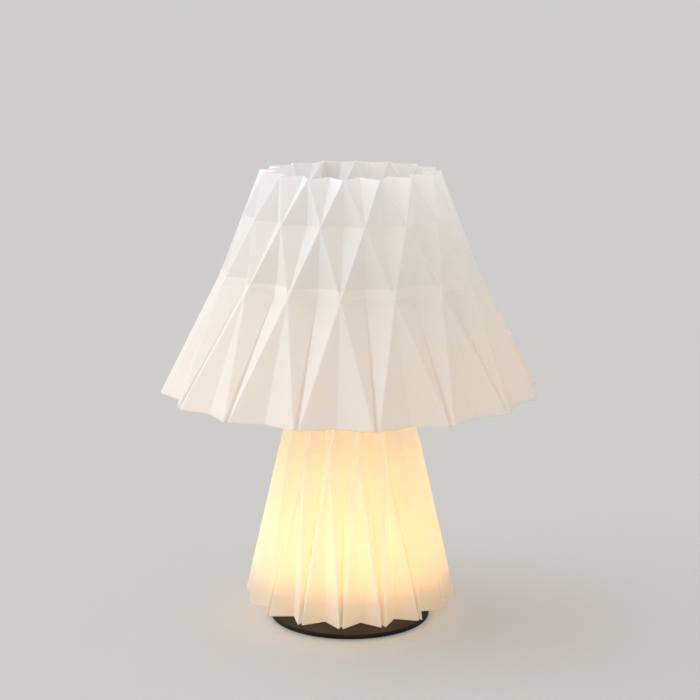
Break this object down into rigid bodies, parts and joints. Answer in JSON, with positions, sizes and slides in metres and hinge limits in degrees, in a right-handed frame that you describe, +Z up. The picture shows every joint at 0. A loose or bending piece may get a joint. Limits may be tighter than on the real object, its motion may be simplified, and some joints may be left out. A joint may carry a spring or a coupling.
{
  "type": "pleated paper table lamp",
  "caption": "Table lamp with a diamond-pleated paper shade over a glowing pleated paper skirt, on a round black steel base.",
  "frame": {"origin": "on the floor under the centre of the base plate", "axes": "+Z up the lamp's axis, -Y to the front, +Y to the back where a lead would leave"},
  "size_m": [0.3488, 0.3488, 0.424],
  "materials": {
    "pleated_paper": "stiff translucent matt paper, folded and glued into strips",
    "black_steel": "satin black powder coat on a turned steel disc",
    "foot_pad": "matt black foam rubber",
    "black_rubber": "moulded soft PVC liner",
    "zinc_steel": "bright zinc plate",
    "white_wire": "matt white powder coat on welded steel wire and sheet",
    "holder_plastic": "moulded white thermoplastic",
    "holder_ceramic": "unglazed steatite insert",
    "brass": "pressed brass",
    "nickel_cap": "nickel-plated screw cap",
    "cap_insulator": "black moulded insulator",
    "bulb_plastic": "white moulded heat-conducting plastic",
    "opal": "satin opal diffuser, glows warm",
    "led_board": "white board with yellow light-emitting chips",
    "nickel_knob": "nickel-plated turned nut"
  },
  "bodies": {
    "root": {"base_pad": "foot_pad", "base_plate": "black_steel", "cord_grommet": "black_rubber", "stem_tube": "zinc_steel", "stem_nut": "zinc_steel", "stem_washer": "zinc_steel", "holder_cap": "holder_plastic", "holder_shell": "holder_plastic", "holder_collar": "holder_plastic", "holder_insert": "holder_ceramic", "holder_terminals": "brass", "holder_socket": "brass", "holder_contact": "brass", "frame_foot": "white_wire", "frame_uprights": "white_wire", "skirt_ring": "white_wire", "frame_top_plate": "white_wire", "frame_stud": "zinc_steel", "shade_hub": "white_wire", "shade_spokes": "white_wire", "shade_ring": "white_wire", "finial_washer": "nickel_knob"},
    "shade": {"shade_lower_strip": "pleated_paper", "shade_upper_strip": "pleated_paper"},
    "skirt": {"skirt_strip": "pleated_paper"},
    "bulb": {"bulb_contact": "brass", "bulb_insulator": "cap_insulator", "bulb_cap": "nickel_cap", "bulb_housing": "bulb_plastic", "bulb_board": "led_board", "bulb_globe": "opal"},
    "finial": {"finial_nut": "nickel_knob"}
  },
  "joints": [
    {"name": "shade_lift", "type": "slide", "parent": "root", "child": "shade", "axis": [0, 0, 1], "range_m": [0, 0.2]},
    {"name": "skirt_lift", "type": "slide", "parent": "root", "child": "skirt", "axis": [0, 0, 1], "range_m": [0, 0.065]},
    {"name": "bulb_turn", "type": "hinge", "parent": "root", "child": "bulb", "pos_m": [0, 0, 0.0733], "axis": [0, 0, 1], "continuous": true},
    {"name": "finial_turn", "type": "hinge", "parent": "root", "child": "finial", "pos_m": [0, 0, 0.3195], "axis": [0, 0, 1], "continuous": true}
  ]
}
